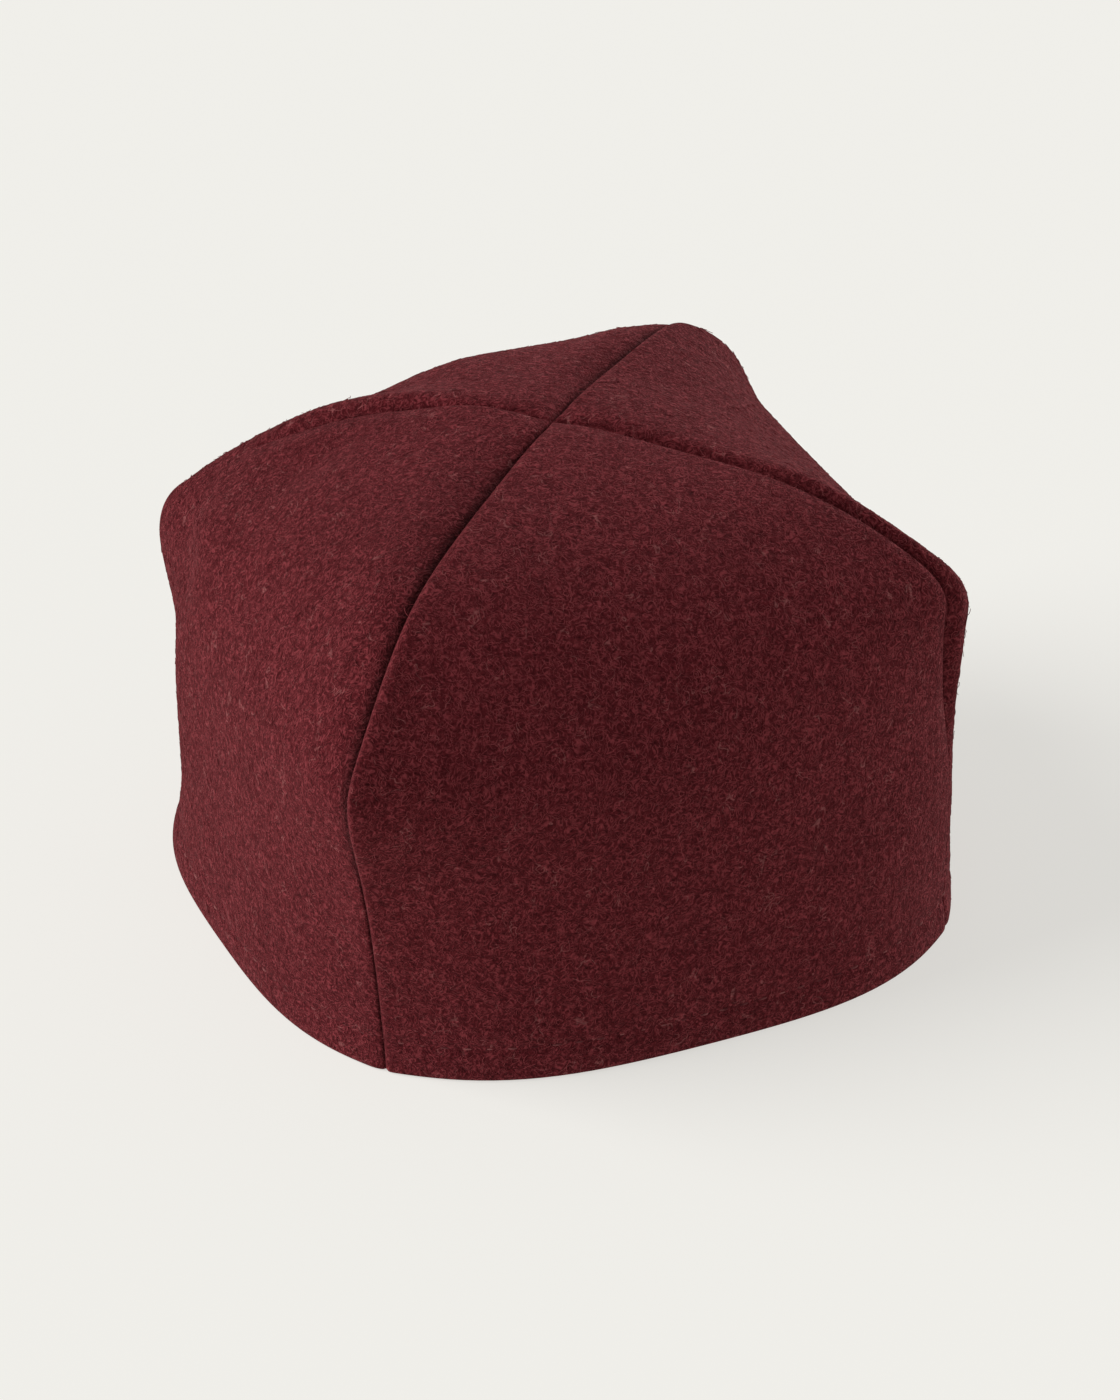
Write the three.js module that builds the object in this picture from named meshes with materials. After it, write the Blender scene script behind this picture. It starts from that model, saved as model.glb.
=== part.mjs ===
// A soft cap sewn from four panels of wool felt. Millimetres, +Z up, the front panel towards -Y.
// Each panel runs from the hem to the crown, between two corner seams.
import * as THREE from "three";

// Felt and sewing sizes
const FELT = 2.2; // thickness of the wall
const TIP_FELT = 1.1; // thickness where the four tips are trimmed at the crown
const SEAM_GAP = 0.3; // clear gap between two panels at a seam
const ALLOWANCE = 6; // felt turned in behind a seam
const TIP_ALLOWANCE = 0.5; // what is left of it at the crown
const HEM_LAYERS = 2; // the hem is turned up once
const HEM_ROUND = 1.2; // rounding of the hem's lower edge
const ROUND_SHARE = 0.4; // largest share of the edge's width that one rounding takes up
const INNER_ROUND = 0.35; // smallest rounding inside a seam
const HEM_STEP = 0.04; // share of a section in which the turned hem ends
const FELT_COLOR = 0x541822;

// Mesh sizes
const ROLL_STEPS = 3; // facets round a rolled edge
const MID_COLUMNS = 11; // columns between the two rolled edges
const EDGE_ROOM = 1; // from a rolled edge to the first of them
const EDGE_CROWD = 0.25; // how much closer together they stand near the seams
const TURN_ROOM = 12; // width in which the seam's inward direction gives way to the panel's
const FIT = 0.85; // largest share of a narrow tip that a rolled edge takes up
const SMALL = 1e-3; // step of the numeric slopes
const FULL_TURN = 360;

// A table with named columns, as a list of objects.
function table(columns, ...rows) {
  return rows.map((row) => Object.fromEntries(columns.map((column, k) => [column, row[k]])));
}

// Sections from the hem to the crown. reach is measured from the axis and rise from the table,
// along a corner seam and along the middle of a panel.
// roll is how deep the panel's edge is rolled in at the seam,
// bow is how squarely the panel turns into the corner,
// rows is the number of mesh rows up to the next section.
const SECTIONS = table(
  ["place", "seamReach", "seamRise", "panelReach", "panelRise", "roll", "bow", "rows"],
  ["hem", 99.5, 0, 88.5, 0, 0.9, 3.4, 2],
  ["turn", 99, 10, 89, 10, 0.9, 3.3, 2],
  ["waist", 100.5, 34.5, 88.5, 34.5, 0.9, 3, 2],
  ["chest", 103.5, 58, 88, 57, 1.2, 2.7, 3],
  ["shoulder", 107, 80, 85.5, 77, 1.8, 2.4, 3],
  ["bend", 104, 91.5, 80, 90.5, 2.6, 2.2, 3],
  ["brow", 95.5, 103, 72, 102, 3, 2.2, 3],
  ["slope", 81, 112.5, 60.5, 111.5, 3, 2.2, 3],
  ["crest", 62.5, 118.5, 46, 118.5, 3, 2.2, 3],
  ["crown", 37.5, 122.5, 27, 123, 3, 2.2, 3],
  ["top", 12.5, 124.5, 9.5, 125, 2.4, 2.2, 3],
  ["tip", 1.2, 123.5, 0.9, 123, 1.2, 2.2, 0],
);

// Corners, anticlockwise from the front left. bearing is the seam's direction from the axis, in degrees.
// The other columns change the sections' seam: how far it stands out at the hem, waist and shoulder,
// and how much higher it lies at the shoulder, at the brow and near the crown.
const CORNERS = table(
  ["name", "bearing", "hemOut", "waistOut", "shoulderOut", "shoulderUp", "browUp", "crownUp"],
  ["front_left", 222, 0, 3, 10, 0, 2, 0],
  ["front_right", 318, 1, 0, -9, 0, -5, -2],
  ["back_right", 43, 0, 0, 11, 3, 5, 0],
  ["back_left", 135, 2, -6, -2, -3, -10, 2],
);

// Panels, each between two corners. shoulderOut and browUp change the middle of the sections' panel.
// softFrom and softTo are how many times wider than deep the edge is rolled in at the two seams.
const PANELS = table(
  ["name", "from", "to", "shoulderOut", "browUp", "softFrom", "softTo"],
  ["panel_front", "front_left", "front_right", 0, 0, 1.2, 1.3],
  ["panel_right", "front_right", "back_right", -4, -6, 2.6, 1.3],
  ["panel_back", "back_right", "back_left", 0, -1, 3.2, 2.6],
  ["panel_left", "back_left", "front_left", 0, 0, 1.3, 3.8],
);

// Where along the sections these changes are strongest, and how far they spread.
const HEM = { along: 0, spread: 1.3 };
const WAIST = { along: 2, spread: 1.2 };
const SHOULDER = { along: 4, spread: 1.3 };
const BROW = { along: 6.6, spread: 1.6 };
const CROWN = { along: 9.2, spread: 1.1 };

const FOLD_END = 14; // how steeply a fold dies away at a seam

// Soft folds of the felt. across runs from -1 at the panel's first seam to 1 at its second,
// along counts sections from the hem, lift is outwards.
const FOLDS = table(
  ["panel", "across", "along", "width", "length", "lift"],
  ["panel_left", -0.72, 3.2, 0.12, 1.2, -2.5],
  ["panel_left", -0.45, 2.8, 0.16, 1.3, 1.8],
  ["panel_back", 0.05, 7.8, 0.36, 1.1, 3],
  ["panel_right", 0.88, 5.6, 0.14, 0.8, 5.5],
  ["panel_right", -0.8, 0.6, 0.2, 1.1, 2],
  ["panel_right", -0.88, 3, 0.12, 0.9, 1.5],
  ["panel_right", -0.87, 4.5, 0.12, 1, 7],
  ["panel_back", 0.86, 6.8, 0.12, 1.2, 1.8],
);

const numberOf = (place) => SECTIONS.findIndex((section) => section.place === place);
const cornerNamed = (name) => CORNERS.find((corner) => corner.name === name);
const bump = (x, middle, spread) => Math.exp(-(((x - middle) / spread) ** 2));
const near = (place, along) => bump(along, place.along, place.spread);

// A smooth line through one pair of the sections' columns.
function lineThrough(reachColumn, riseColumn) {
  const points = SECTIONS.map((section) => new THREE.Vector3(section[reachColumn], section[riseColumn], 0));
  return new THREE.CatmullRomCurve3(points, false, "centripetal");
}

const LAST = SECTIONS.length - 1;
const seamLine = lineThrough("seamReach", "seamRise");
const panelLine = lineThrough("panelReach", "panelRise");

// One of the other columns at any place along the sections.
function columnAt(column, along) {
  const low = Math.min(Math.floor(along), LAST - 1);
  return THREE.MathUtils.lerp(SECTIONS[low][column], SECTIONS[low + 1][column], along - low);
}

// A point of a corner's seam.
function seamPoint(corner, along) {
  const { x: reach, y: rise } = seamLine.getPoint(along / LAST);
  const lowOut = corner.hemOut * near(HEM, along) + corner.waistOut * near(WAIST, along);
  const out = reach + lowOut + corner.shoulderOut * near(SHOULDER, along);
  const highUp = corner.browUp * near(BROW, along) + corner.crownUp * near(CROWN, along);
  const up = rise + corner.shoulderUp * near(SHOULDER, along) + highUp;
  const bearing = THREE.MathUtils.degToRad(corner.bearing);
  return new THREE.Vector3(out * Math.cos(bearing), out * Math.sin(bearing), up);
}

// The seam's point, its sideways direction (anticlockwise) and its inward direction.
function seamFrame(corner, along) {
  const bearing = THREE.MathUtils.degToRad(corner.bearing);
  const side = new THREE.Vector3(-Math.sin(bearing), Math.cos(bearing), 0);
  const before = seamPoint(corner, Math.max(0, along - SMALL));
  const after = seamPoint(corner, Math.min(LAST, along + SMALL));
  const inward = after.sub(before).cross(side).normalize();
  return { point: seamPoint(corner, along), side, inward };
}

// The middle of a panel at a place along the sections.
function panelMiddle(panel, along) {
  const { x: reach, y: rise } = panelLine.getPoint(along / LAST);
  const start = cornerNamed(panel.from).bearing;
  const turn = THREE.MathUtils.euclideanModulo(cornerNamed(panel.to).bearing - start, FULL_TURN);
  const bearing = THREE.MathUtils.degToRad(start + turn / 2);
  const out = reach + panel.shoulderOut * near(SHOULDER, along);
  const up = rise + panel.browUp * near(BROW, along);
  return new THREE.Vector3(out * Math.cos(bearing), out * Math.sin(bearing), up);
}

// The panel's outer face without its folds: across from -1 to 1, along the sections.
function smoothPoint(panel, across, along) {
  const start = seamFrame(cornerNamed(panel.from), along);
  const end = seamFrame(cornerNamed(panel.to), along);
  start.point.addScaledVector(start.side, SEAM_GAP / 2);
  end.point.addScaledVector(end.side, -SEAM_GAP / 2);
  const chordMiddle = start.point.clone().lerp(end.point, 0.5);
  const bulge = panelMiddle(panel, along).sub(chordMiddle);
  const fullness = 1 - Math.abs(across) ** columnAt("bow", along);
  return start.point.lerp(end.point, (across + 1) / 2).addScaledVector(bulge, fullness);
}

// The inward direction of a face at one place.
function inwardOf(face, panel, across, along) {
  const low = Math.max(0, along - SMALL);
  const high = Math.min(LAST, along + SMALL);
  const upward = face(panel, across, high).sub(face(panel, across, low));
  const sideways = face(panel, across + SMALL, along).sub(face(panel, across - SMALL, along));
  return upward.cross(sideways).normalize();
}

// The panel's outer face with its folds, before its edges are rolled in.
function facePoint(panel, across, along) {
  const point = smoothPoint(panel, across, along);
  const inward = inwardOf(smoothPoint, panel, across, along);
  const clearOfSeams = 1 - across ** FOLD_END;
  const folds = FOLDS.filter((fold) => fold.panel === panel.name);
  for (const fold of folds) {
    const shape = bump(across, fold.across, fold.width) * bump(along, fold.along, fold.length);
    point.addScaledVector(inward, -fold.lift * shape * clearOfSeams);
  }
  return point;
}

// The places of a panel's mesh rows along the sections. The row where the turned hem ends is doubled.
function rowPlaces() {
  const places = [];
  SECTIONS.forEach(({ place, rows }, number) => {
    for (let row = 0; row < rows; row += 1) {
      places.push(number + row / rows);
    }
    if (place === "turn") {
      places.push(number + HEM_STEP);
    }
  });
  return [...places, LAST].sort((a, b) => a - b);
}

// One mesh row of a panel: its points on the outer and on the inner face, from seam to seam.
function panelRow(panel, along) {
  const tipShare = THREE.MathUtils.smoothstep(along, numberOf("crest"), LAST);
  const felt = THREE.MathUtils.lerp(FELT, TIP_FELT, tipShare);
  const allowance = THREE.MathUtils.lerp(ALLOWANCE, TIP_ALLOWANCE, tipShare);
  const layers = along <= numberOf("turn") ? HEM_LAYERS : 1;
  const roll = columnAt("roll", along);
  const innerRoll = Math.max(roll - felt, INNER_ROUND);
  const ends = [
    { sign: -1, frame: seamFrame(cornerNamed(panel.from), along), soft: panel.softFrom },
    { sign: 1, frame: seamFrame(cornerNamed(panel.to), along), soft: panel.softTo },
  ];
  const halfWidth = ends[0].frame.point.distanceTo(ends[1].frame.point) / 2;
  const roomFor = (width) => Math.min(1, (FIT * halfWidth) / width);

  // The columns next to one seam, from the raw edge of its allowance to the end of the roll.
  function edgeColumns({ sign, frame, soft }) {
    const width = roll * soft;
    const innerWidth = Math.max(width - felt, INNER_ROUND);
    const outerFit = roomFor(width);
    const innerFit = roomFor(felt + innerWidth);
    const wholeWidth = felt + innerWidth + EDGE_ROOM;
    const edgeDistance = wholeWidth * roomFor(wholeWidth);
    const beside = facePoint(panel, sign * (1 - SMALL), along);
    const speed = facePoint(panel, sign, along).distanceTo(beside) / SMALL;
    const place = (distance, depth) => {
      const point = facePoint(panel, sign * (1 - distance / speed), along);
      return point.addScaledVector(frame.inward, depth);
    };
    const rawDepth = Math.max(roll, felt * layers + innerRoll) + allowance;
    const columns = [{ outer: place(0, rawDepth), inner: place(felt * innerFit, rawDepth) }];
    for (let step = 0; step <= ROLL_STEPS; step += 1) {
      const angle = ((Math.PI / 2) * step) / ROLL_STEPS;
      const aside = 1 - Math.cos(angle);
      const below = 1 - Math.sin(angle);
      const outer = place(width * aside * outerFit, roll * below);
      const inner = place((felt + innerWidth * aside) * innerFit, felt * layers + innerRoll * below);
      columns.push({ outer, inner });
    }
    return { columns, edge: 1 - edgeDistance / speed };
  }

  const [first, second] = ends.map(edgeColumns);
  const middle = [];
  for (let column = 0; column < MID_COLUMNS; column += 1) {
    const place = (2 * column) / (MID_COLUMNS - 1) - 1;
    const crowded = place * (1 + EDGE_CROWD * (1 - place ** 2));
    const across = THREE.MathUtils.lerp(-first.edge, second.edge, (crowded + 1) / 2);
    const outer = facePoint(panel, across, along);
    const nearer = ends[across < 0 ? 0 : 1].frame;
    const distance = (1 - Math.abs(across)) * halfWidth;
    const share = THREE.MathUtils.smoothstep(distance, 0, Math.min(TURN_ROOM, halfWidth));
    const inward = nearer.inward.clone().lerp(inwardOf(facePoint, panel, across, along), share).normalize();
    middle.push({ outer, inner: outer.clone().addScaledVector(inward, felt * layers) });
  }
  return [...first.columns, ...middle, ...second.columns.reverse()];
}

// The rounded lower edge of the hem between an outer and an inner point, with a flat strip on the table.
function hemEdge({ outer, inner }) {
  const across = inner.clone().sub(outer).setZ(0);
  const width = across.length();
  const round = Math.min(HEM_ROUND, ROUND_SHARE * width);
  const corner = round * (1 - Math.SQRT1_2);
  const at = (inset, height) => outer.clone().addScaledVector(across, inset / width).setZ(height);
  return [
    at(corner, corner),
    at(round, 0),
    at(width - round, 0),
    at(width - corner, corner),
  ];
}

// A closed body from the loops round each column of a panel.
function bodyOf(loops) {
  const size = loops[0].length;
  const points = loops.flat();
  const indices = [];
  const quad = (a, b, c, d) => indices.push(a, b, c, a, c, d);
  const lastLoop = (loops.length - 1) * size;
  for (let loop = 0; loop < lastLoop; loop += size) {
    for (let k = 0; k < size; k += 1) {
      const next = (k + 1) % size;
      quad(loop + next, loop + size + next, loop + size + k, loop + k);
    }
  }
  for (let k = 0; k < size / 2 - 1; k += 1) {
    const facing = size - 1 - k;
    quad(k + 1, k, facing, facing - 1);
    quad(lastLoop + k, lastLoop + k + 1, lastLoop + facing - 1, lastLoop + facing);
  }
  const geometry = new THREE.BufferGeometry().setFromPoints(points);
  geometry.setIndex(indices);
  return geometry;
}

function makePanel(panel) {
  const rows = rowPlaces().map((along) => panelRow(panel, along));
  for (const { outer, inner } of rows[0]) {
    outer.setZ(HEM_ROUND);
    inner.setZ(HEM_ROUND);
  }
  const loops = rows[0].map((bottom, column) => {
    const outer = rows.map((row) => row[column].outer);
    const inner = rows.map((row) => row[column].inner);
    return [...outer.reverse(), ...hemEdge(bottom), ...inner];
  });
  const geometry = bodyOf(loops);
  geometry.computeVertexNormals();
  const material = new THREE.MeshStandardMaterial({ color: FELT_COLOR, roughness: 0.95, metalness: 0 });
  const mesh = new THREE.Mesh(geometry, material);
  mesh.name = panel.name;
  return mesh;
}

const cap = new THREE.Group();
cap.name = "felt_cap";
for (const panel of PANELS) {
  cap.add(makePanel(panel));
}

// The origin is the middle of the resting surface under the cap's bounds.
const middle = new THREE.Box3().setFromObject(cap).getCenter(new THREE.Vector3());
for (const mesh of cap.children) {
  mesh.geometry.translate(-middle.x, -middle.y, 0);
}

export default cap;
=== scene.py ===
import math

import bmesh
import bpy
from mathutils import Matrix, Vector, noise
from mathutils.bvhtree import BVHTree


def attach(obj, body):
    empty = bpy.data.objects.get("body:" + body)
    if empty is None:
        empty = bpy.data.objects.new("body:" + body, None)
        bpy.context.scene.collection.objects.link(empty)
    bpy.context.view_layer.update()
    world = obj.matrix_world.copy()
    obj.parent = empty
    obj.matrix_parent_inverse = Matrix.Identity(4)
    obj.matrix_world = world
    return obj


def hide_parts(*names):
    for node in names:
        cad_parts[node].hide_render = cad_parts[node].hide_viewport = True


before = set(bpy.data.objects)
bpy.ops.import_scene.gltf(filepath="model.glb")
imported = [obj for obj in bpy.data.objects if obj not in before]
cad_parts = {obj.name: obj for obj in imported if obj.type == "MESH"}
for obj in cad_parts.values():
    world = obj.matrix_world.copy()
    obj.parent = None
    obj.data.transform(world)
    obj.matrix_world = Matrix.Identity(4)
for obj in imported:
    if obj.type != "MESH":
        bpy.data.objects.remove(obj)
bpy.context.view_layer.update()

MM = 0.001

# A panel as it is cut flat: width and length in metres, and area in square metres
PANEL_CUT = (0.168, 0.196)
PANEL_AREA = 0.0252


def seam_edge(sink, width, near=6, far=140, lip=0.0, lip_near=45, crisp=False):
    """How a panel's edge lies along a seam, in millimetres: how far it sinks and over what width, between
    which distances from the cap's middle, how high and from where a soft lip stands beside it, and if the
    edge is crisp."""
    return {
        "sink": sink * MM,
        "width": width * MM,
        "near": near * MM,
        "far": far * MM,
        "lip": lip * MM,
        "lip_near": lip_near * MM,
        "crisp": crisp,
    }


CRISP_EDGE = seam_edge(0.0, 5, crisp=True)

# The four cut panels: the solid each one dresses, the names of its cloth and of its loose fibres, its cut
# size and area, how its edge lies at a neighbour (crisp where none is named), and how far its felt pattern
# is shifted, so that no two panels match
PANELS = (
    {
        "solid": "panel_front",
        "piece": "felt_front",
        "fibres": "fibres_front",
        "cut": PANEL_CUT,
        "area": PANEL_AREA,
        "edges": {"panel_right": seam_edge(1.3, 7, near=45, crisp=True)},
        "shift": (0.0, 0.0, 0.0),
    },
    {
        "solid": "panel_right",
        "piece": "felt_right",
        "fibres": "fibres_right",
        "cut": PANEL_CUT,
        "area": PANEL_AREA,
        "edges": {"panel_front": seam_edge(1.2, 5, lip=1.8, lip_near=40)},
        "shift": (0.37, 0.11, 0.05),
    },
    {
        "solid": "panel_back",
        "piece": "felt_back",
        "fibres": "fibres_back",
        "cut": PANEL_CUT,
        "area": PANEL_AREA,
        "edges": {
            "panel_right": seam_edge(2.2, 12, far=92),
            "panel_left": seam_edge(1.6, 5, near=16, far=84, lip=1.0, lip_near=16),
        },
        "shift": (0.13, 0.53, 0.21),
    },
    {
        "solid": "panel_left",
        "piece": "felt_left",
        "fibres": "fibres_left",
        "cut": PANEL_CUT,
        "area": PANEL_AREA,
        "edges": {
            "panel_front": seam_edge(3, 16),
            "panel_back": seam_edge(2.4, 10, near=16, far=84, crisp=True),
        },
        "shift": (0.71, 0.29, 0.43),
    },
)

# Soft hollows of the slack felt, in millimetres: the panel, the middle of the hollow, its width and its
# depth, which is negative where the felt swells out
SLACK = (
    ("panel_left", (-56, 27, 110), 9, 2.3),
    ("panel_left", (-45, 24, 116), 8, 1.5),
    ("panel_left", (-74, 53, 88), 8, 1.8),
    ("panel_left", (-79, 40, 82), 8, 1.8),
    ("panel_left", (-74, 36, 94), 9, -1.5),
    ("panel_left", (-79, 22, 88), 10, -1.2),
    ("panel_right", (42, 12, 119), 10, 1.2),
    ("panel_right", (64, 41, 110), 8, -0.8),
)

# Cloth of a panel: merging and smoothing of its solid, and the heart of the head hollow
WELD = 0.02 * MM
SMOOTH_LEVELS = 2
HEART_SHARE = 0.55
HEART_TOP = 70 * MM

# Soft unevenness, which fades out towards the seams and the foot
WAVE_SIZE = 36 * MM
WAVE_DEPTH = 0.55 * MM
RIPPLE_SIZE = 11 * MM
RIPPLE_DEPTH = 0.16 * MM
SEAM_KEEP = 2 * MM
SEAM_FADE = 9 * MM
FOOT_ROOM = 5 * MM

# Edges along a seam: how far off a seam is felt, where sinking starts by height and fades along the seam,
# the lip beside it, and the widths of the painted shade in its crease and of the painted highlight on its
# rim
SEAM_REACH = 30 * MM
SINK_LOW = 45 * MM
SINK_HIGH = 75 * MM
SINK_FADE = 24 * MM
LIP_CREST = 4 * MM
LIP_END = 20 * MM
CRISP_SHADE_WIDTH = 1.3 * MM
SHADE_WIDTH_SHARE = 0.4
HIGHLIGHT_START = 0.6 * MM
HIGHLIGHT_END = 2.8 * MM

# Closing of the seams: the side faces of two panels are drawn together, and the tips meet at the crown
JOIN_SHARE = 0.56
JOIN_FULL = 0.8 * MM
JOIN_END = 1.8 * MM
JOIN_FACING = 0.1
TIP_PULL = 7 * MM

# Which faces are the outer side of the cap, and which of them carry loose fibres
FACING_OUT = 0.25
FIBRE_FACING = 0.5
FIBRE_EDGE = 3.5 * MM
FIBRE_FOOT = 4 * MM

# The hem's stitched line: its height and dent, and how the line is traced round the cap
HEM_HEIGHT = 9.4 * MM
HEM_DENT = 0.45 * MM
HEM_DENT_WIDTH = 1.4 * MM
HEM_STEPS = 720
HEM_TRACE_FROM = 200 * MM
HEM_BREAK = 3 * MM

# Loose fibres: values of the tree's inputs, the turn of each kind of curl in radians with its points, the
# sides of a strand and the range of its size
LOOSE_FIBRES = {"Density": 360000.0, "Length": 2.4 * MM, "Thickness": 0.072 * MM, "Tilt": 0.05}
FIBRE_CURLS = ((0.7, 4), (1.5, 4), (2.6, 5), (4.0, 5))
FIBRE_SIDES = 3
FIBRE_LEAST = 0.55
FIBRE_MOST = 1.25
FIBRE_SEED = 11
FIBROUS_FROM = 0.99

# Hem stitches: values of the tree's inputs, how far a stitch's ends go under and its middle up by its
# thickness, and its points and sides
HEM_STITCHES = {
    "Pitch": 5.2 * MM,
    "Length": 2.9 * MM,
    "Thickness": 0.28 * MM,
    "Sink": 0.3 * MM,
    "Seed": 5,
}
STITCH_DIP = -1.6
STITCH_CREST = 2.4
STITCH_POINTS = 5
STITCH_SIDES = 6

# Noise of the felt's patterns
CURL_NOISE = {"Detail": 1.0, "Roughness": 0.4, "Distortion": 0.9}
CURL_BREAK_NOISE = {"Detail": 0.0}
MATTED_NOISE = {"Detail": 1.5, "Roughness": 0.45, "Distortion": 0.6}
MATTED_BREAK_NOISE = {"Detail": 1.0}
DYE_NOISE = {"Detail": 2.0, "Roughness": 0.5}
GRAIN_NOISE = {"Detail": 3.0, "Roughness": 0.6, "Distortion": 0.4}
CLUMP_NOISE = {"Detail": 2.0}
NOISE_MIDDLE = 0.5

# Ranges of the noise that make each mark
CURL_BREAK_SHIFT = (0.31, 0.17, 0.42)
CURL_BREAK_FADE = 0.08
STROKE_RANGE = (0.0, 0.95)
STROKE_KEPT = (0.38, 0.62)
GAP_RANGE = (-0.95, 0.0)
GAP_KEPT = (0.36, 0.60)
GAP_LEAST = 0.15
CLUMP_SCALE = 0.45
PIT_RANGE = (0.3, 0.46)
SPECK_RANGE = (0.68, 0.76)
GRAIN_RANGE = (0.3, 0.7)
GRAIN_SHADE = (0.74, 1.26)
WHOLE_RANGE = (0.0, 1.0)

# Felt colours
FELT_GROUND = (0.084, 0.0098, 0.0130, 1.0)
FELT_FIBRE = (0.195, 0.0330, 0.0395, 1.0)
FELT_PIT = (0.034, 0.0036, 0.0050, 1.0)
FELT_SPECK = (0.26, 0.085, 0.085, 1.0)
SHEEN_TINT = (1.0, 0.42, 0.42, 1.0)

# Felt patterns: two layers of matted strokes by their curl, strands, breaks and shift, then the sparse pale
# hairs, the grain and the uneven dye
STROKE_LAYERS = (
    (3.2 * MM, 8.5, 1.6 * MM, (0.0, 0.0, 0.0)),
    (2.3 * MM, 6.5, 1.3 * MM, (0.47, 0.39, 0.11)),
)
PALE_HAIRS = {"Spacing": 4.2 * MM, "Width": 0.022, "Kept": 0.42}
FELT_GRAIN = 0.6 * MM
FELT_DYE = {"Patch": 34 * MM, "Strength": 0.12}

# How strongly each mark shows in the felt's colour, and how dark the painted shade in a seam's crease gets
PIT_SHARE = 0.35
GAP_SHARE = 0.9
STROKE_SHARE = 0.75
HAIR_SHARE = 0.6
SPECK_SHARE = 0.35
HIGHLIGHT_SHARE = 0.2
CREASE_SHADE = 0.3

# Relief and finish of the felt
STROKE_RISE = 0.55
GRAIN_RISE = 0.6
GAP_DROP = 0.6
FELT_RELIEF = {"Strength": 0.75, "Distance": 0.45 * MM}
FELT_ROUGHNESS = (0.96, 0.86)
FELT_FINISH = {
    "Specular IOR Level": 0.04,
    "Sheen Weight": 0.045,
    "Sheen Roughness": 0.45,
    "Sheen Tint": SHEEN_TINT,
}

# Thread and loose wool
LOOSE_WOOL_DARK = (0.085, 0.0105, 0.0140, 1.0)
LOOSE_WOOL_LIGHT = (0.23, 0.044, 0.050, 1.0)
LOOSE_WOOL_PATCH = 2.5 * MM
THREAD_DARK = (0.060, 0.0095, 0.0125, 1.0)
THREAD_LIGHT = (0.22, 0.070, 0.070, 1.0)
THREAD_PATCH = 6 * MM
YARN_MOTTLE = 1.0
YARN_RANGE = (0.6, 1.4)
YARN_GRAIN = 0.2 * MM
YARN_RELIEF = {"Strength": 0.4, "Distance": 0.1 * MM}
YARN_ROUGHNESS = (0.95, 0.8)
YARN_FINISH = {
    "Specular IOR Level": 0.05,
    "Sheen Weight": 0.04,
    "Sheen Roughness": 0.5,
    "Sheen Tint": SHEEN_TINT,
}

# Floor of pale paper that glows a little, and the pale room
FLOOR_HALF = 6.0
FLOOR_FINISH = {
    "Base Color": (0.360, 0.356, 0.342, 1.0),
    "Emission Color": (0.622, 0.616, 0.588, 1.0),
    "Emission Strength": 1.0,
    "Roughness": 0.95,
    "Specular IOR Level": 0.0,
}
ROOM = {"Color": (1.0, 0.995, 0.98, 1.0), "Strength": 0.24}

# Broad lights from far away: name, strength, spread, bearing round the cap and rise, the last three in
# degrees. Those on the cap cast no shadow on the paper, which has a light of its own.
CAP_LIGHTS = (
    ("key", 3.1, 50, 165, 18),
    ("right_fill", 3.5, 60, 15, 14),
    ("front_fill", 0.45, 60, -85, 4),
    ("rear_top", 0.8, 60, 110, 35),
)
PAPER_LIGHT = ("paper_key", 2.6, 45, 160, 33)
LIGHT_COLOR = (1.0, 0.995, 0.985)

# Camera at the photograph's angle
CAMERA_TURN = math.radians(-25)
CAMERA_RISE = math.radians(29)
CAMERA_REACH = 1.040
AIM_HEIGHT = 48 * MM
AIM_RIGHT = 1.96 * MM
FOCAL_PIXELS = 4250
IMAGE_HEIGHT = 1400
SENSOR = 36


def add_node(tree, kind, inputs=None, **settings):
    """Add a node, set its options, and link or fill the inputs named or numbered in inputs."""
    made = tree.nodes.new(kind)
    for option, value in settings.items():
        setattr(made, option, value)
    for socket, value in (inputs or {}).items():
        if isinstance(value, bpy.types.NodeSocket):
            tree.links.new(value, made.inputs[socket])
        else:
            made.inputs[socket].default_value = value
    return made


def math_node(tree, operation, first, second=0.0):
    """Return the result of one sum on two values."""
    return add_node(tree, "ShaderNodeMath", {0: first, 1: second}, operation=operation).outputs[0]


def ramp(tree, value, span, low, high):
    """Return a value that goes smoothly from low at the start of a span to high at its end."""
    inputs = {"Value": value, "From Min": span[0], "From Max": span[1], "To Min": low, "To Max": high}
    return add_node(tree, "ShaderNodeMapRange", inputs, interpolation_type="SMOOTHSTEP").outputs["Result"]


def blend(tree, share, first, second, kind="MIX"):
    """Return the mix of two colours."""
    inputs = {0: share, 6: first, 7: second}
    return add_node(tree, "ShaderNodeMix", inputs, data_type="RGBA", blend_type=kind).outputs[2]


def soft_noise(tree, place, scale, look):
    """Return a soft noise between 0 and 1 at a place."""
    return add_node(tree, "ShaderNodeTexNoise", {"Vector": place, "Scale": scale, **look}).outputs[0]


def shifted(tree, place, step):
    """Return a place moved by a step, where a pattern is a different one."""
    return add_node(tree, "ShaderNodeVectorMath", {0: place, 1: step}, operation="ADD").outputs[0]


def new_group(name, inputs, outputs, kind="ShaderNodeTree"):
    """Make an empty node group with named sockets; return it with its input and output nodes."""
    group = bpy.data.node_groups.new(name, kind)
    for label, socket_type in inputs:
        group.interface.new_socket(label, in_out="INPUT", socket_type=socket_type)
    for label, socket_type in outputs:
        group.interface.new_socket(label, in_out="OUTPUT", socket_type=socket_type)
    return group, group.nodes.new("NodeGroupInput"), group.nodes.new("NodeGroupOutput")


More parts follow.
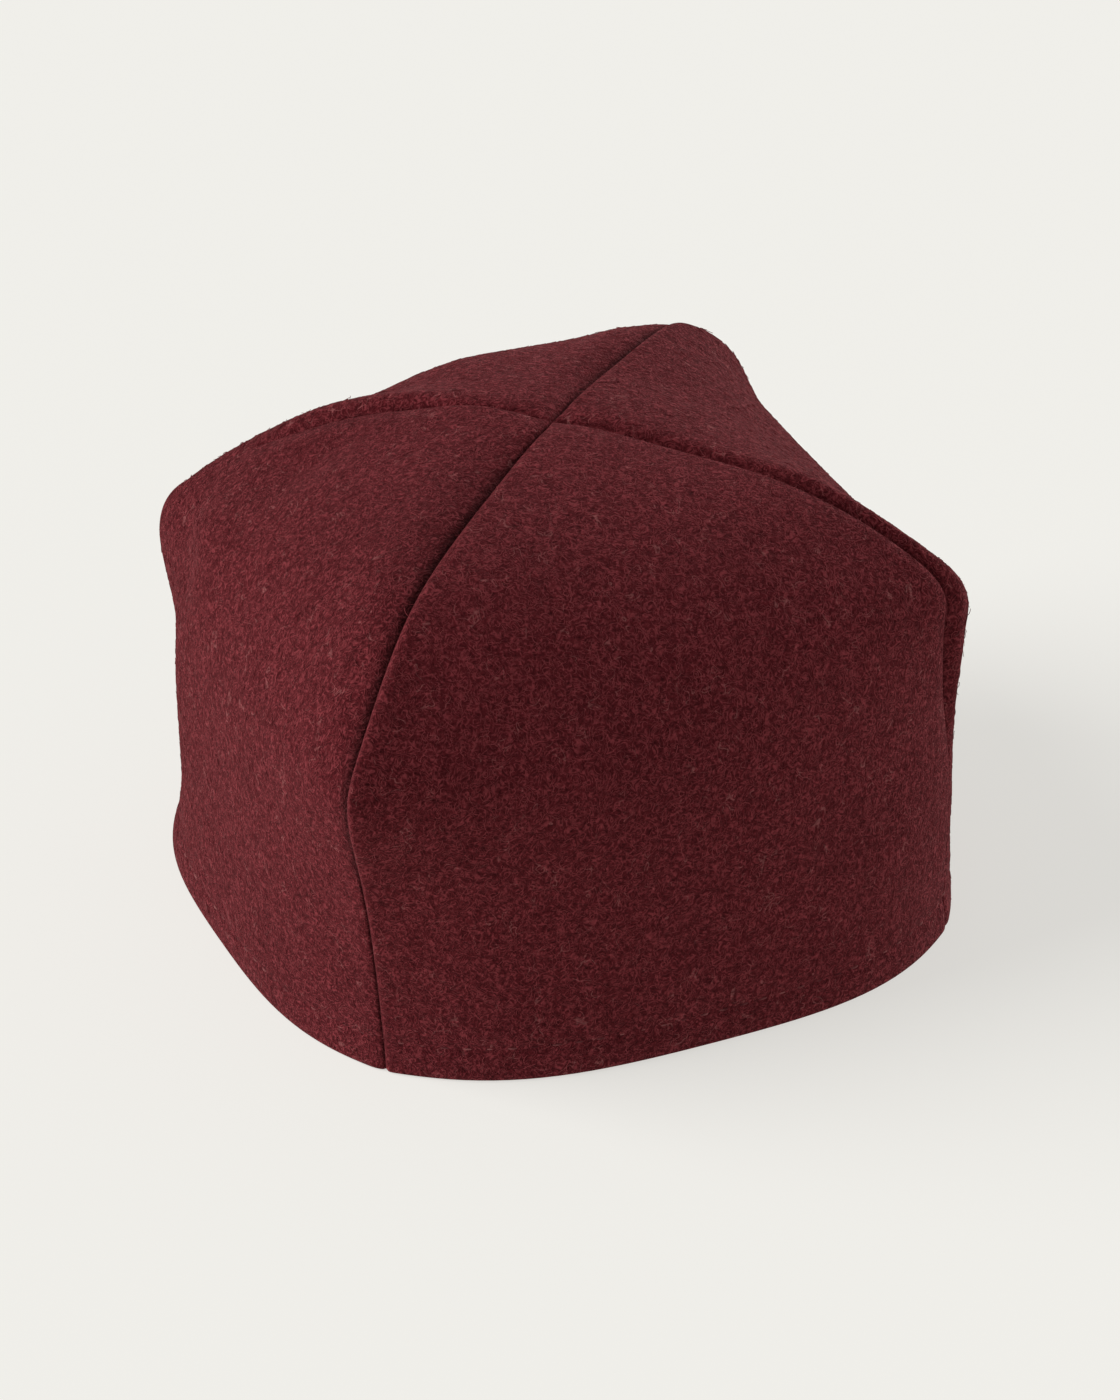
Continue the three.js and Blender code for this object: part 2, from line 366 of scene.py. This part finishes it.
def curled_fibre_group():
    """Fine curled fibres: broken contour lines of a soft noise."""
    group, inner, outer = new_group(
        "curled_fibres",
        (
            ("Place", "NodeSocketVector"),
            ("Spacing", "NodeSocketFloat"),
            ("Width", "NodeSocketFloat"),
            ("Kept", "NodeSocketFloat"),
        ),
        (("Fibres", "NodeSocketFloat"),),
    )
    place = inner.outputs["Place"]
    scale = math_node(group, "DIVIDE", 1.0, inner.outputs["Spacing"])
    curls = soft_noise(group, place, scale, CURL_NOISE)
    off_line = math_node(group, "ABSOLUTE", math_node(group, "SUBTRACT", curls, NOISE_MIDDLE))
    line = ramp(group, off_line, (0.0, inner.outputs["Width"]), 1.0, 0.0)
    breaks = soft_noise(group, shifted(group, place, CURL_BREAK_SHIFT), scale, CURL_BREAK_NOISE)
    start = math_node(group, "SUBTRACT", 1.0, inner.outputs["Kept"])
    end = math_node(group, "ADD", start, CURL_BREAK_FADE)
    kept = ramp(group, breaks, (start, end), 0.0, 1.0)
    group.links.new(math_node(group, "MULTIPLY", line, kept), outer.inputs["Fibres"])
    return group


def matted_fibre_group():
    """Matted short fibres: even curly strokes side by side, with dark gaps between them."""
    group, inner, outer = new_group(
        "matted_fibres",
        (
            ("Place", "NodeSocketVector"),
            ("Curl", "NodeSocketFloat"),
            ("Strands", "NodeSocketFloat"),
            ("Break", "NodeSocketFloat"),
        ),
        (("Strokes", "NodeSocketFloat"), ("Gaps", "NodeSocketFloat")),
    )
    place = inner.outputs["Place"]
    scale = math_node(group, "DIVIDE", 1.0, inner.outputs["Curl"])
    field = soft_noise(group, place, scale, MATTED_NOISE)
    turns = math_node(group, "MULTIPLY", inner.outputs["Strands"], math.tau)
    wave = math_node(group, "SINE", math_node(group, "MULTIPLY", field, turns))
    fine = math_node(group, "DIVIDE", 1.0, inner.outputs["Break"])
    breaks = soft_noise(group, place, fine, MATTED_BREAK_NOISE)
    strokes_kept = ramp(group, breaks, STROKE_KEPT, 0.0, 1.0)
    gaps_kept = ramp(group, breaks, GAP_KEPT, 1.0, GAP_LEAST)
    strokes = math_node(group, "MULTIPLY", ramp(group, wave, STROKE_RANGE, 0.0, 1.0), strokes_kept)
    gaps = math_node(group, "MULTIPLY", ramp(group, wave, GAP_RANGE, 1.0, 0.0), gaps_kept)
    group.links.new(strokes, outer.inputs["Strokes"])
    group.links.new(gaps, outer.inputs["Gaps"])
    return group


def mottle_group():
    """Uneven dye and pressing: a soft shade about one."""
    group, inner, outer = new_group(
        "dye_mottle",
        (
            ("Place", "NodeSocketVector"),
            ("Patch", "NodeSocketFloat"),
            ("Strength", "NodeSocketFloat"),
        ),
        (("Shade", "NodeSocketFloat"),),
    )
    scale = math_node(group, "DIVIDE", 1.0, inner.outputs["Patch"])
    patches = soft_noise(group, inner.outputs["Place"], scale, DYE_NOISE)
    off_middle = math_node(group, "SUBTRACT", patches, NOISE_MIDDLE)
    swing = math_node(group, "MULTIPLY", off_middle, 1.0 / NOISE_MIDDLE)
    shade = math_node(group, "ADD", 1.0, math_node(group, "MULTIPLY", swing, inner.outputs["Strength"]))
    group.links.new(shade, outer.inputs["Shade"])
    return group


def nap_group():
    """The pressed nap between the fibres: fine grain with dark pits and pale specks."""
    group, inner, outer = new_group(
        "pressed_nap",
        (("Place", "NodeSocketVector"), ("Grain", "NodeSocketFloat")),
        (("Grain", "NodeSocketFloat"), ("Pits", "NodeSocketFloat"), ("Specks", "NodeSocketFloat")),
    )
    place = inner.outputs["Place"]
    scale = math_node(group, "DIVIDE", 1.0, inner.outputs["Grain"])
    grain = soft_noise(group, place, scale, GRAIN_NOISE)
    clumps = soft_noise(group, place, math_node(group, "MULTIPLY", scale, CLUMP_SCALE), CLUMP_NOISE)
    group.links.new(grain, outer.inputs["Grain"])
    group.links.new(ramp(group, clumps, PIT_RANGE, 1.0, 0.0), outer.inputs["Pits"])
    group.links.new(ramp(group, grain, SPECK_RANGE, 0.0, 1.0), outer.inputs["Specks"])
    return group


CURLED = curled_fibre_group()
MATTED = matted_fibre_group()
MOTTLE = mottle_group()
NAP = nap_group()


def use_group(tree, group, inputs):
    """Place a shader group with its own values and return its outputs."""
    return add_node(tree, "ShaderNodeGroup", inputs, node_tree=group).outputs


def new_material(name, finish):
    """Make a material with a plain finish; return it with its tree and shader."""
    material = bpy.data.materials.new(name)
    material.use_nodes = True
    shader = material.node_tree.nodes["Principled BSDF"]
    for label, value in finish.items():
        shader.inputs[label].default_value = value
    return material, material.node_tree, shader


def raise_relief(tree, shader, height, relief):
    """Give a shader a fine relief."""
    bump = add_node(tree, "ShaderNodeBump", {"Height": height, **relief})
    tree.links.new(bump.outputs["Normal"], shader.inputs["Normal"])


def painted_seam_light(tree, name):
    """Return a mark of painted light that a panel carries beside its seams, by its name: the painted shade
    in the crease, the painted highlight on the rim.
    """
    return add_node(tree, "ShaderNodeAttribute", attribute_name=name).outputs["Fac"]


def felt_material(name, shift):
    """Thick pressed wool felt with a curled fibre nap."""
    material, tree, shader = new_material(name, FELT_FINISH)
    place = shifted(tree, add_node(tree, "ShaderNodeTexCoord").outputs["Object"], shift)
    strokes = []
    gaps = []
    for curl, strands, broken, step in STROKE_LAYERS:
        layer = {"Place": shifted(tree, place, step), "Curl": curl, "Strands": strands, "Break": broken}
        matted = use_group(tree, MATTED, layer)
        strokes.append(matted["Strokes"])
        gaps.append(matted["Gaps"])
    stroke = math_node(tree, "MAXIMUM", *strokes)
    gap = math_node(tree, "MULTIPLY", math_node(tree, "ADD", *gaps), 1.0 / len(gaps))
    hairs = use_group(tree, CURLED, {"Place": place, **PALE_HAIRS})["Fibres"]
    nap = use_group(tree, NAP, {"Place": place, "Grain": FELT_GRAIN})

    color = FELT_GROUND
    for mark, share, mark_color in (
        (nap["Pits"], PIT_SHARE, FELT_PIT),
        (gap, GAP_SHARE, FELT_PIT),
        (stroke, STROKE_SHARE, FELT_FIBRE),
        (hairs, HAIR_SHARE, FELT_SPECK),
        (nap["Specks"], SPECK_SHARE, FELT_SPECK),
        # painted highlight along a crisp seam edge, in the pale fibre colour
        (painted_seam_light(tree, "painted_highlight"), HIGHLIGHT_SHARE, FELT_FIBRE),
    ):
        color = blend(tree, math_node(tree, "MULTIPLY", mark, share), color, mark_color)
    dye = use_group(tree, MOTTLE, {"Place": place, **FELT_DYE})["Shade"]
    shade = math_node(tree, "MULTIPLY", dye, ramp(tree, nap["Grain"], GRAIN_RANGE, *GRAIN_SHADE))
    # painted shade: the felt's colour darkens in the crease beside a seam
    painted_seam_shade = ramp(tree, painted_seam_light(tree, "painted_seam_shade"), WHOLE_RANGE, 1.0, CREASE_SHADE)
    shade = math_node(tree, "MULTIPLY", shade, painted_seam_shade)
    grey = add_node(tree, "ShaderNodeCombineColor", {0: shade, 1: shade, 2: shade}).outputs[0]
    tree.links.new(blend(tree, 1.0, color, grey, "MULTIPLY"), shader.inputs["Base Color"])

    height = math_node(tree, "MULTIPLY", stroke, STROKE_RISE)
    height = math_node(tree, "ADD", height, math_node(tree, "MULTIPLY", nap["Grain"], GRAIN_RISE))
    height = math_node(tree, "SUBTRACT", height, math_node(tree, "MULTIPLY", gap, GAP_DROP))
    raise_relief(tree, shader, height, FELT_RELIEF)
    tree.links.new(ramp(tree, stroke, WHOLE_RANGE, *FELT_ROUGHNESS), shader.inputs["Roughness"])
    return material


def yarn_material(name, dark, light, patch):
    """Wool thread or loose fibre, paler and darker from place to place."""
    material, tree, shader = new_material(name, YARN_FINISH)
    place = add_node(tree, "ShaderNodeTexCoord").outputs["Object"]
    mottle = use_group(tree, MOTTLE, {"Place": place, "Patch": patch, "Strength": YARN_MOTTLE})["Shade"]
    share = ramp(tree, mottle, YARN_RANGE, 0.0, 1.0)
    tree.links.new(blend(tree, share, dark, light), shader.inputs["Base Color"])
    grain = use_group(tree, NAP, {"Place": place, "Grain": YARN_GRAIN})["Grain"]
    raise_relief(tree, shader, grain, YARN_RELIEF)
    tree.links.new(ramp(tree, mottle, YARN_RANGE, *YARN_ROUGHNESS), shader.inputs["Roughness"])
    return material


def link_object(name, data):
    """Make an object from a mesh, light or camera and put it in the scene."""
    made = bpy.data.objects.new(name, data)
    bpy.context.scene.collection.objects.link(made)
    return made


def applied_mesh(piece):
    """Return the mesh a piece has after its modifiers, and take the modifiers off."""
    graph = bpy.context.evaluated_depsgraph_get()
    graph.update()
    mesh = bpy.data.meshes.new_from_object(piece.evaluated_get(graph), depsgraph=graph)
    piece.modifiers.clear()
    return mesh


def surface_of(mesh):
    """Return a mesh's faces as a surface that can be searched."""
    corners = [vertex.co for vertex in mesh.vertices]
    return BVHTree.FromPolygons(corners, [tuple(face.vertices) for face in mesh.polygons])


def smoothstep(start, end, value):
    """Return a share that goes smoothly from 0 at the start to 1 at the end."""
    share = min(max((value - start) / (end - start), 0.0), 1.0)
    return share * share * (3.0 - 2.0 * share)


def smoothed_panel(panel):
    """Copy a panel's solid, weld it, and smooth its cut edges and curves."""
    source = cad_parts[panel["solid"]]
    work = bmesh.new()
    work.from_mesh(source.data)
    bmesh.ops.remove_doubles(work, verts=work.verts, dist=WELD)
    bmesh.ops.join_triangles(
        work, faces=work.faces, angle_face_threshold=math.pi, angle_shape_threshold=math.pi
    )
    mesh = bpy.data.meshes.new(panel["piece"])
    work.to_mesh(mesh)
    work.free()
    piece = link_object(panel["piece"], mesh)
    smooth = piece.modifiers.new("soft", "SUBSURF")
    smooth.levels = SMOOTH_LEVELS
    smooth.render_levels = SMOOTH_LEVELS
    piece.data = applied_mesh(piece)
    piece.data.name = panel["piece"]
    return piece


def outward(point):
    """Direction from the heart of the head hollow to a point of the cap."""
    heart = Vector((0.0, 0.0, min(point.z * HEART_SHARE, HEART_TOP)))
    return (point - heart).normalized()


def beside_seams(place, panel, neighbours):
    """What the seams do to a point of a panel: how far off the nearest one is and the way to close it, how
    far the point sinks or stands up, and how much painted shade and painted highlight it gets."""
    seam = {"distance": SEAM_REACH, "join": Vector(), "sink": 0.0, "lip": 0.0, "painted_seam_shade": 0.0, "painted_highlight": 0.0}
    from_middle = math.hypot(place.x, place.y)
    high = smoothstep(SINK_LOW, SINK_HIGH, place.z)
    for solid, surface in neighbours.items():
        touch, _, _, distance = surface.find_nearest(place, SEAM_REACH)
        if touch is None:
            continue
        if distance < seam["distance"]:
            seam["distance"] = distance
            seam["join"] = (touch - place) * JOIN_SHARE * (1.0 - smoothstep(JOIN_FULL, JOIN_END, distance))
        edge = panel["edges"].get(solid, CRISP_EDGE)
        within = high * (1.0 - smoothstep(edge["far"] - SINK_FADE, edge["far"], from_middle))
        sunk = within * smoothstep(edge["near"], edge["near"] + SINK_FADE, from_middle)
        raised = within * smoothstep(edge["lip_near"], edge["lip_near"] + SINK_FADE, from_middle)
        sink = edge["sink"] * sunk * (1.0 - smoothstep(0.0, edge["width"], distance))
        crest = smoothstep(0.0, LIP_CREST, distance) - smoothstep(LIP_CREST, LIP_END, distance)
        seam["sink"] = max(seam["sink"], sink)
        seam["lip"] = max(seam["lip"], edge["lip"] * raised * crest)
        # painted shade in the crease beside a seam, narrow at a crisp edge and wider where the edge sinks
        shade_width = CRISP_SHADE_WIDTH
        if edge["crisp"]:
            # painted highlight on a crisp edge: a thin pale band just off the seam
            painted_highlight = smoothstep(0.0, HIGHLIGHT_START, distance) - smoothstep(HIGHLIGHT_START, HIGHLIGHT_END, distance)
            seam["painted_highlight"] = max(seam["painted_highlight"], painted_highlight)
        else:
            shade_width += (edge["width"] * SHADE_WIDTH_SHARE - CRISP_SHADE_WIDTH) * sunk
        seam["painted_seam_shade"] = max(seam["painted_seam_shade"], 1.0 - smoothstep(0.0, shade_width, distance))
    return seam


def slack_at(place, solid):
    """How deep the slack hollows of a panel are at one of its points."""
    slack = 0.0
    for slack_solid, middle, width, depth in SLACK:
        if slack_solid == solid:
            off = (place - Vector(middle) * MM).length / (width * MM)
            slack += depth * MM * math.exp(-off * off)
    return slack


def settle_panel(piece, panel, neighbours):
    """Draw the felt up to its seams, give it soft unevenness and a hem dent, set its foot on the floor, mark
    the painted shade and painted highlight beside its seams, and mark where it carries fibres."""
    mesh = piece.data
    places = [vertex.co.copy() for vertex in mesh.vertices]
    normals = [vertex.normal.copy() for vertex in mesh.vertices]
    foot = min(place.z for place in places)
    tip = min(math.hypot(place.x, place.y) for place in places)
    marks = {"painted_seam_shade": [], "painted_highlight": [], "fibrous": []}
    moved = []
    for place, normal in zip(places, normals):
        seam = beside_seams(place, panel, neighbours)
        away = outward(place)
        facing = normal.dot(away)
        faces_out = 1.0 if facing > FACING_OUT else 0.0
        kept = smoothstep(SEAM_KEEP, SEAM_FADE, seam["distance"]) * smoothstep(0.0, FOOT_ROOM, place.z)
        wave = noise.noise(place / WAVE_SIZE) * WAVE_DEPTH
        ripple = noise.noise(place / RIPPLE_SIZE) * RIPPLE_DEPTH
        dent = HEM_DENT * math.exp(-(((place.z - HEM_HEIGHT) / HEM_DENT_WIDTH) ** 2))
        slack = slack_at(place, panel["solid"])
        lift = (wave + ripple) * kept - dent * faces_out - seam["sink"] + seam["lip"] - slack
        join = seam["join"] * (1.0 - smoothstep(JOIN_FACING, FIBRE_FACING, facing))
        from_middle = math.hypot(place.x, place.y)
        pull = tip * (1.0 - smoothstep(tip, TIP_PULL, from_middle))
        to_middle = Vector((-place.x, -place.y, 0.0)) * (pull / from_middle)
        drop = foot * (1.0 - smoothstep(0.0, FOOT_ROOM, place.z))
        moved.extend(place + away * lift + join + to_middle - Vector((0.0, 0.0, drop)))
        clear = seam["distance"] > FIBRE_EDGE and place.z > FIBRE_FOOT
        marks["painted_seam_shade"].append(seam["painted_seam_shade"])
        marks["painted_highlight"].append(seam["painted_highlight"])
        marks["fibrous"].append(1.0 if clear and facing > FIBRE_FACING else 0.0)
    mesh.vertices.foreach_set("co", moved)
    for name, values in marks.items():
        layer = mesh.attributes.new(name, "FLOAT", "POINT")
        layer.data.foreach_set("value", values)
    mesh.polygons.foreach_set("use_smooth", [True] * len(mesh.polygons))
    mesh.update()


def hem_path(surfaces):
    """A line round the outside of the hem, on the felt, with the way out at each point."""
    mesh = bpy.data.meshes.new("hem_path")
    points = []
    away = []
    edges = []
    for step in range(HEM_STEPS):
        turn = math.tau * step / HEM_STEPS
        out = Vector((math.cos(turn), math.sin(turn), 0.0))
        start = out * HEM_TRACE_FROM + Vector((0.0, 0.0, HEM_HEIGHT))
        hits = [hit for hit in (surface.ray_cast(start, -out) for surface in surfaces) if hit[0]]
        place, normal, _, _ = min(hits, key=lambda hit: hit[3])
        if points and (place - points[-1]).length < HEM_BREAK:
            edges.append((len(points) - 1, len(points)))
        points.append(place)
        away.append(normal)
    mesh.from_pydata(points, edges, [])
    layer = mesh.attributes.new("away", "FLOAT_VECTOR", "POINT")
    layer.data.foreach_set("vector", [value for vector in away for value in vector])
    return mesh


def strand_mesh(tree, curve, thickness, sides):
    """Return a round strand of some thickness along a curve, with closed ends."""
    section = add_node(
        tree, "GeometryNodeCurvePrimitiveCircle", {"Resolution": sides, "Radius": thickness}, mode="RADIUS"
    )
    inputs = {"Curve": curve, "Profile Curve": section.outputs["Curve"], "Fill Caps": True}
    return add_node(tree, "GeometryNodeCurveToMesh", inputs).outputs["Mesh"]


def finish_tree(tree, instances, material, result):
    """End a tree: make its instances real, give them their material and put them out."""
    real = add_node(tree, "GeometryNodeRealizeInstances", {"Geometry": instances})
    dressed = add_node(tree, "GeometryNodeSetMaterial", {"Geometry": real.outputs[0], "Material": material})
    tree.links.new(dressed.outputs[0], result)


def curled_strand(tree, length, thickness, turn, points):
    """Return one kind of curled fibre as an instance, bent round by a turn, with its start at the origin."""
    radius = math_node(tree, "DIVIDE", length, turn)
    bend = add_node(
        tree,
        "GeometryNodeCurveArc",
        {"Resolution": points, "Radius": radius, "Sweep Angle": turn},
        mode="RADIUS",
    )
    strand = strand_mesh(tree, bend.outputs["Curve"], thickness, FIBRE_SIDES)
    back = add_node(tree, "ShaderNodeCombineXYZ", {"X": math_node(tree, "MULTIPLY", radius, -1.0)})
    placed = add_node(
        tree, "GeometryNodeTransform", {"Geometry": strand, "Translation": back.outputs[0]}
    )
    kind = add_node(tree, "GeometryNodeGeometryToInstance", {"Geometry": placed.outputs["Geometry"]})
    return kind.outputs[0]


def loose_fibre_tree():
    """Curved loose fibres that lie on the outer face of a panel."""
    tree, inner, outer = new_group(
        "loose_fibres",
        (
            ("Panel", "NodeSocketGeometry"),
            ("Density", "NodeSocketFloat"),
            ("Length", "NodeSocketFloat"),
            ("Thickness", "NodeSocketFloat"),
            ("Tilt", "NodeSocketFloat"),
            ("Seed", "NodeSocketInt"),
            ("Wool", "NodeSocketMaterial"),
        ),
        (("Fibres", "NodeSocketGeometry"),),
        "GeometryNodeTree",
    )
    seed = inner.outputs["Seed"]
    tilt = inner.outputs["Tilt"]
    fibrous = add_node(tree, "GeometryNodeInputNamedAttribute", {"Name": "fibrous"}, data_type="FLOAT")
    chosen = add_node(
        tree,
        "FunctionNodeCompare",
        {0: fibrous.outputs[0], 1: FIBROUS_FROM},
        data_type="FLOAT",
        operation="GREATER_THAN",
    )
    spread = add_node(
        tree,
        "GeometryNodeDistributePointsOnFaces",
        {
            "Mesh": inner.outputs["Panel"],
            "Selection": chosen.outputs[0],
            "Density": inner.outputs["Density"],
            "Seed": seed,
        },
        distribute_method="RANDOM",
    )
    kinds = tree.nodes.new("GeometryNodeJoinGeometry")
    for turn, points in FIBRE_CURLS:
        kind = curled_strand(tree, inner.outputs["Length"], inner.outputs["Thickness"], turn, points)
        tree.links.new(kind, kinds.inputs[0])
    tilt_back = math_node(tree, "MULTIPLY", tilt, -1.0)
    least = add_node(tree, "ShaderNodeCombineXYZ", {"X": tilt_back, "Y": tilt_back, "Z": 0.0})
    most = add_node(tree, "ShaderNodeCombineXYZ", {"X": tilt, "Y": tilt, "Z": math.tau})
    lean = add_node(
        tree,
        "FunctionNodeRandomValue",
        {0: least.outputs[0], 1: most.outputs[0], "Seed": seed},
        data_type="FLOAT_VECTOR",
    )
    turn = add_node(tree, "FunctionNodeEulerToRotation", {0: lean.outputs[0]})
    turned = add_node(
        tree,
        "FunctionNodeRotateRotation",
        {"Rotation": spread.outputs["Rotation"], "Rotate By": turn.outputs[0]},
        rotation_space="LOCAL",
    )
    size = add_node(
        tree, "FunctionNodeRandomValue", {2: FIBRE_LEAST, 3: FIBRE_MOST, "Seed": seed}, data_type="FLOAT"
    )
    pick = add_node(
        tree, "FunctionNodeRandomValue", {4: 0, 5: len(FIBRE_CURLS) - 1, "Seed": seed}, data_type="INT"
    )
    strands = add_node(
        tree,
        "GeometryNodeInstanceOnPoints",
        {
            "Points": spread.outputs["Points"],
            "Instance": kinds.outputs[0],
            "Pick Instance": True,
            "Instance Index": pick.outputs[2],
            "Rotation": turned.outputs[0],
            "Scale": size.outputs[1],
        },
    )
    finish_tree(tree, strands.outputs["Instances"], inner.outputs["Wool"], outer.inputs["Fibres"])
    return tree


def hem_stitch_tree():
    """Sunk stitches in a row along a path on the hem."""
    tree, inner, outer = new_group(
        "hem_stitches",
        (
            ("Path", "NodeSocketGeometry"),
            ("Pitch", "NodeSocketFloat"),
            ("Length", "NodeSocketFloat"),
            ("Thickness", "NodeSocketFloat"),
            ("Sink", "NodeSocketFloat"),
            ("Seed", "NodeSocketInt"),
            ("Thread", "NodeSocketMaterial"),
        ),
        (("Stitches", "NodeSocketGeometry"),),
        "GeometryNodeTree",
    )
    thickness = inner.outputs["Thickness"]
    path = add_node(tree, "GeometryNodeMeshToCurve", {"Mesh": inner.outputs["Path"]})
    places = add_node(
        tree,
        "GeometryNodeResampleCurve",
        {"Curve": path.outputs[0], "Length": inner.outputs["Pitch"]},
        mode="LENGTH",
    )
    away = add_node(tree, "GeometryNodeInputNamedAttribute", {"Name": "away"}, data_type="FLOAT_VECTOR")
    along = tree.nodes.new("GeometryNodeInputTangent")
    turn = add_node(
        tree,
        "FunctionNodeAxesToRotation",
        {"Primary Axis": along.outputs[0], "Secondary Axis": away.outputs[0]},
        primary_axis="X",
        secondary_axis="Z",
    )
    deepest = math_node(tree, "MULTIPLY", inner.outputs["Sink"], -1.0)
    depth = add_node(
        tree,
        "FunctionNodeRandomValue",
        {2: deepest, 3: 0.0, "Seed": inner.outputs["Seed"]},
        data_type="FLOAT",
    )
    inset = add_node(
        tree, "ShaderNodeVectorMath", {0: away.outputs[0], "Scale": depth.outputs[1]}, operation="SCALE"
    )
    sunk = add_node(
        tree, "GeometryNodeSetPosition", {"Geometry": places.outputs[0], "Offset": inset.outputs[0]}
    )
    half = math_node(tree, "MULTIPLY", inner.outputs["Length"], 0.5)
    dip = math_node(tree, "MULTIPLY", thickness, STITCH_DIP)
    crest = math_node(tree, "MULTIPLY", thickness, STITCH_CREST)
    start = add_node(tree, "ShaderNodeCombineXYZ", {"X": math_node(tree, "MULTIPLY", half, -1.0), "Z": dip})
    middle = add_node(tree, "ShaderNodeCombineXYZ", {"Z": crest})
    end = add_node(tree, "ShaderNodeCombineXYZ", {"X": half, "Z": dip})
    loop = add_node(
        tree,
        "GeometryNodeCurveQuadraticBezier",
        {
            "Resolution": STITCH_POINTS,
            "Start": start.outputs[0],
            "Middle": middle.outputs[0],
            "End": end.outputs[0],
        },
    )
    thread = strand_mesh(tree, loop.outputs[0], thickness, STITCH_SIDES)
    sewn = add_node(
        tree,
        "GeometryNodeInstanceOnPoints",
        {"Points": sunk.outputs[0], "Instance": thread, "Rotation": turn.outputs[0]},
    )
    finish_tree(tree, sewn.outputs["Instances"], inner.outputs["Thread"], outer.inputs["Stitches"])
    return tree


def grown(name, mesh, tree, values):
    """Run a node tree on a mesh and return the result as a plain piece."""
    piece = link_object(name, mesh)
    modifier = piece.modifiers.new(name, "NODES")
    modifier.node_group = tree
    sockets = {item.name: item.identifier for item in tree.interface.items_tree if item.in_out == "INPUT"}
    for label, value in values.items():
        modifier[sockets[label]] = value
    piece.data = applied_mesh(piece)
    piece.data.name = name
    return piece


# The felt panels, drawn up to one another
cloths = [smoothed_panel(panel) for panel in PANELS]
surfaces = {panel["solid"]: surface_of(cloth.data) for panel, cloth in zip(PANELS, cloths)}
for panel, cloth in zip(PANELS, cloths):
    neighbours = {solid: surface for solid, surface in surfaces.items() if solid != panel["solid"]}
    settle_panel(cloth, panel, neighbours)

# Their felt and loose fibres
cap = []
loose_wool = yarn_material("loose_wool", LOOSE_WOOL_DARK, LOOSE_WOOL_LIGHT, LOOSE_WOOL_PATCH)
fibre_tree = loose_fibre_tree()
for number, (panel, cloth) in enumerate(zip(PANELS, cloths)):
    cloth.data.materials.clear()
    cloth.data.materials.append(felt_material(panel["piece"], panel["shift"]))
    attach(cloth, "root")
    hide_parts(panel["solid"])
    fuzz = grown(
        panel["fibres"],
        cloth.data.copy(),
        fibre_tree,
        {**LOOSE_FIBRES, "Seed": FIBRE_SEED + number, "Wool": loose_wool},
    )
    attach(fuzz, "root")
    cap.extend((cloth, fuzz))

# The hem's stitches
hem_thread = yarn_material("hem_thread", THREAD_DARK, THREAD_LIGHT, THREAD_PATCH)
stitches = grown(
    "hem_stitches",
    hem_path([surface_of(cloth.data) for cloth in cloths]),
    hem_stitch_tree(),
    {**HEM_STITCHES, "Thread": hem_thread},
)
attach(stitches, "root")
cap.append(stitches)

# Floor
floor_corners = [
    (x * FLOOR_HALF, y * FLOOR_HALF, 0.0) for x, y in ((-1, -1), (1, -1), (1, 1), (-1, 1))
]
floor_mesh = bpy.data.meshes.new("floor")
floor_mesh.from_pydata(floor_corners, [], [(0, 1, 2, 3)])
floor_mesh.materials.append(new_material("pale_paper", FLOOR_FINISH)[0])
floor = link_object("floor", floor_mesh)


def direction(bearing, rise):
    """The way to a place by its bearing round the cap, from its right side, and its rise, in radians."""
    level = math.cos(rise)
    return Vector((math.cos(bearing) * level, math.sin(bearing) * level, math.sin(rise)))


def soft_sun(name, strength, spread, bearing, rise, lit):
    """A broad light from far away on some of the pieces."""
    data = bpy.data.lights.new(name, "SUN")
    data.energy = strength
    data.angle = math.radians(spread)
    data.color = LIGHT_COLOR
    light = link_object(name, data)
    source = direction(math.radians(bearing), math.radians(rise))
    light.rotation_euler = source.to_track_quat("Z", "Y").to_euler()
    receivers = bpy.data.collections.new(name)
    for piece in lit:
        receivers.objects.link(piece)
    light.light_linking.receiver_collection = receivers


# Light
scene = bpy.context.scene
scene.world = bpy.data.worlds.new("pale_room")
scene.world.use_nodes = True
for label, value in ROOM.items():
    scene.world.node_tree.nodes["Background"].inputs[label].default_value = value
for light in CAP_LIGHTS:
    soft_sun(*light, cap)
soft_sun(*PAPER_LIGHT, [floor])

# Camera
camera_data = bpy.data.cameras.new("camera")
camera_data.sensor_width = SENSOR
camera_data.lens = FOCAL_PIXELS * SENSOR / IMAGE_HEIGHT
camera = link_object("camera", camera_data)
back = direction(CAMERA_TURN - math.pi / 2, CAMERA_RISE)
right = direction(CAMERA_TURN, 0.0)
camera.location = Vector((0.0, 0.0, AIM_HEIGHT)) + right * AIM_RIGHT + back * CAMERA_REACH
camera.rotation_euler = back.to_track_quat("Z", "Y").to_euler()
scene.camera = camera
scene.view_settings.view_transform = "Standard"
